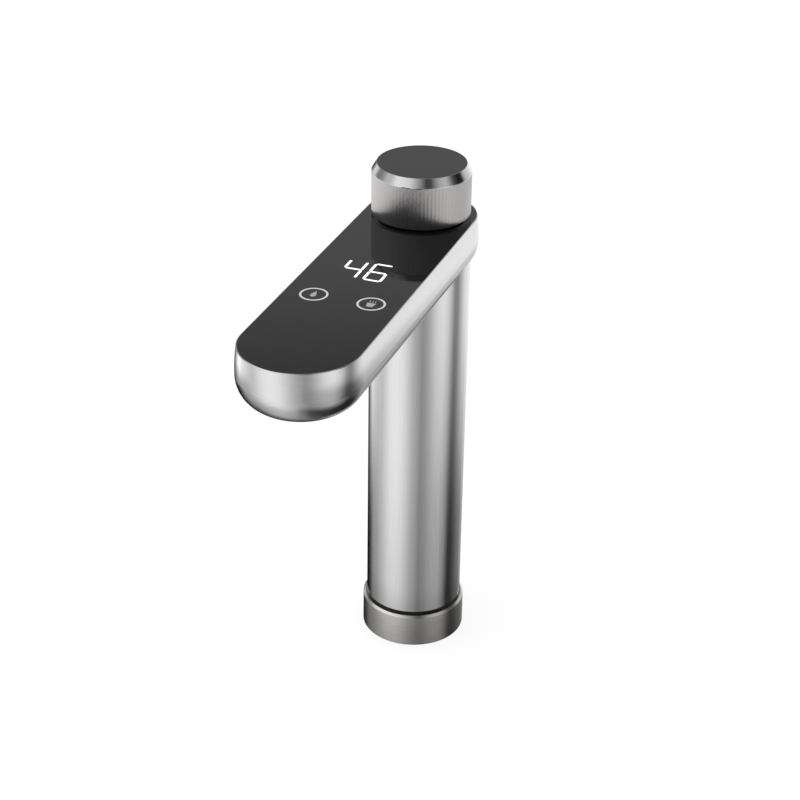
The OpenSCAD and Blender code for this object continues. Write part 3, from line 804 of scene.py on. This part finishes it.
def studio_world(scene, stage):
    """White to the camera and through clear things, even to matte surfaces, a studio to shiny ones."""
    world = bpy.data.worlds.new("studio")
    scene.world = world
    world.use_nodes = True
    tree = world.node_tree
    sight = add_node(tree, "ShaderNodeTexCoord")
    az = stage.azimuth
    to_camera = (math.sin(az), -math.cos(az), 0.0)
    to_right = (math.cos(az), math.sin(az), 0.0)
    upward = (0.0, 0.0, 1.0)

    def share_along(axis):
        """How far the line of sight goes along the axis."""
        dot = add_node(tree, "ShaderNodeVectorMath", operation="DOT_PRODUCT")
        dot.inputs[1].default_value = axis
        tree.links.new(sight.outputs["Generated"], dot.inputs[0])
        return dot.outputs["Value"]

    lean, ahead, rise = [share_along(axis) for axis in (to_right, to_camera, upward)]
    turn = calculate(tree, "DEGREES", calculate(tree, "ARCTAN2", lean, ahead))

    def around(stops):
        """Brightness by the angle round the tap."""
        return ramp_of(tree, stops, -180.0, 180.0, turn)

    def blend(low, high, first, second):
        """Go from first to second as the line of sight rises from low to high, in degrees."""
        start, end = math.sin(math.radians(low)), math.sin(math.radians(high))
        return mixed(tree, remap(tree, rise, start, end), first, second)

    walls = around(WALLS)
    foot = mixed(tree, 1.0, walls, around(BACK), blend_type="MULTIPLY")
    studio = blend(-72.0, -52.0, ramp_of(tree, GROUND, -1.0, 1.0, lean), around(SKIRT))
    studio = blend(-46.0, -36.0, studio, foot)
    studio = blend(-32.0, -26.0, studio, walls)
    studio = blend(-4.0, 8.0, studio, around(RISE))
    studio = blend(25.0, 30.0, studio, around(SKY))
    studio = blend(62.0, 76.0, studio, plain(ZENITH))
    path = add_node(tree, "ShaderNodeLightPath").outputs
    clear = calculate(tree, "MAXIMUM", path["Is Camera Ray"], path["Is Transmission Ray"])
    light = mixed(tree, path["Is Glossy Ray"], plain(stage.ambient), studio)
    background = tree.nodes["Background"]
    tree.links.new(mixed(tree, clear, light, plain(1.0)), background.inputs["Color"])
    background.inputs["Strength"].default_value = 1.0


def pale_floor():
    """A pale floor that reads as white and keeps a soft shadow; what shiny walls see in it is dimmed by
    a painted shadow round the tap's foot.
    """
    material = bpy.data.materials.new("stage_floor")
    material.use_nodes = True
    tree = material.node_tree
    tree.nodes.clear()
    links = tree.links
    output = add_node(tree, "ShaderNodeOutputMaterial")
    matte = add_node(tree, "ShaderNodeBsdfDiffuse")
    matte.inputs["Color"].default_value = plain(0.26)
    glow = add_node(tree, "ShaderNodeEmission")
    glow.inputs["Color"].default_value = plain(0.80)
    path = add_node(tree, "ShaderNodeLightPath")
    pale = add_node(tree, "ShaderNodeAddShader")
    links.new(path.outputs["Is Camera Ray"], glow.inputs["Strength"])
    links.new(matte.outputs[0], pale.inputs[0])
    links.new(glow.outputs[0], pale.inputs[1])
    # Painted shadow: to shiny walls the floor is darker the nearer it lies to the tap's axis
    stops = [(place * MM, value) for place, value in PAINTED_FLOOR_SHADOW]
    away = length_of(tree, tap_space(tree))
    painted_shadow = add_node(tree, "ShaderNodeBsdfTransparent")
    links.new(ramp_of(tree, stops, 0.0, FLOOR_REACH, away), painted_shadow.inputs["Color"])
    mix = add_node(tree, "ShaderNodeMixShader")
    links.new(path.outputs["Is Glossy Ray"], mix.inputs[0])
    links.new(pale.outputs[0], mix.inputs[1])
    links.new(painted_shadow.outputs[0], mix.inputs[2])
    links.new(mix.outputs[0], output.inputs["Surface"])
    return material


def soft_lamp(scene, name, place, size, energy):
    """A large soft lamp that doesn't show in the steel."""
    data = bpy.data.lights.new(name, "AREA")
    data.shape = "DISK"
    data.size = size
    data.energy = energy
    lamp = bpy.data.objects.new(name, data)
    lamp.location = place
    lamp.rotation_euler = (Vector(LAMP_AIM) - Vector(place)).to_track_quat("-Z", "Y").to_euler()
    lamp.visible_glossy = False
    scene.collection.objects.link(lamp)


def photo_camera(scene, stage):
    """The camera at the photograph's angle."""
    az, el = stage.azimuth, stage.elevation
    outward = Vector((math.sin(az) * math.cos(el), -math.cos(az) * math.cos(el), math.sin(el)))
    right = Vector((math.cos(az), math.sin(az), 0.0))
    up = outward.cross(right)
    right_rolled = math.cos(stage.roll) * right + math.sin(stage.roll) * up
    up_rolled = -math.sin(stage.roll) * right + math.cos(stage.roll) * up
    turn = Matrix((right_rolled, up_rolled, outward)).transposed().to_4x4()
    place = Vector(stage.target) + outward * stage.distance
    data = bpy.data.cameras.new("photo_camera")
    data.lens = stage.lens
    data.sensor_width = SENSOR
    camera = bpy.data.objects.new("photo_camera", data)
    camera.matrix_world = Matrix.Translation(place) @ turn
    scene.collection.objects.link(camera)
    scene.camera = camera


class TAP_OT_stage(Operator):
    """Camera at the photograph's angle, pale floor, studio and soft lamps"""

    bl_idname = "tap.stage"
    bl_label = "Photo Stage"

    def execute(self, context):
        scene = context.scene
        scene.view_settings.view_transform = "Standard"
        photo_camera(scene, scene.tap_stage)

        mesh = bpy.data.meshes.new("floor")
        work = bmesh.new()
        bmesh.ops.create_grid(work, x_segments=2, y_segments=2, size=FLOOR_HALF)
        work.to_mesh(mesh)
        work.free()
        floor = bpy.data.objects.new("floor", mesh)
        floor.data.materials.append(pale_floor())
        scene.collection.objects.link(floor)

        studio_world(scene, scene.tap_stage)
        for name, place, size, energy in LAMPS:
            soft_lamp(scene, name, place, size, energy)
        return {"FINISHED"}


# ---------------------------------------------------------------- add-on

class TAP_PT_sidebar(Panel):
    """Buttons that dress the tap, in the order in which they are run"""

    bl_idname = "TAP_PT_sidebar"
    bl_label = "Drinking Water Tap"
    bl_space_type = "VIEW_3D"
    bl_region_type = "UI"
    bl_category = "Tap"

    def draw(self, context):
        layout = self.layout
        for operator in OPERATORS:
            layout.operator(operator.bl_idname)
        for name in ("tap_signs", "tap_finishes", "tap_stage"):
            group = getattr(context.scene, name)
            box = layout.box()
            for key in group.__annotations__:
                box.prop(group, key)


OPERATORS = (
    TAP_OT_stage, TAP_OT_body_finish, TAP_OT_panel_finish, TAP_OT_dial_finish, TAP_OT_outlet_finish,
    TAP_OT_inner_finish, TAP_OT_snap_dome, TAP_OT_lit_digits, TAP_OT_touch_keys,
)
GROUPS = (TapSigns, TapFinishes, TapStage)


def register():
    """Register the settings, the operators and the sidebar."""
    for item in (*GROUPS, *OPERATORS, TAP_PT_sidebar):
        bpy.utils.register_class(item)
    bpy.types.Scene.tap_signs = PointerProperty(type=TapSigns)
    bpy.types.Scene.tap_finishes = PointerProperty(type=TapFinishes)
    bpy.types.Scene.tap_stage = PointerProperty(type=TapStage)


def unregister():
    """Take the settings, the operators and the sidebar out again."""
    del bpy.types.Scene.tap_stage
    del bpy.types.Scene.tap_finishes
    del bpy.types.Scene.tap_signs
    for item in reversed((*GROUPS, *OPERATORS, TAP_PT_sidebar)):
        bpy.utils.unregister_class(item)


def main():
    """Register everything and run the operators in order."""
    register()
    bpy.ops.tap.stage()
    bpy.ops.tap.body_finish()
    bpy.ops.tap.panel_finish()
    bpy.ops.tap.dial_finish()
    bpy.ops.tap.outlet_finish()
    bpy.ops.tap.inner_finish()
    bpy.ops.tap.snap_dome()
    bpy.ops.tap.lit_digits()
    bpy.ops.tap.touch_keys()


if __name__ == "__main__":
    main()
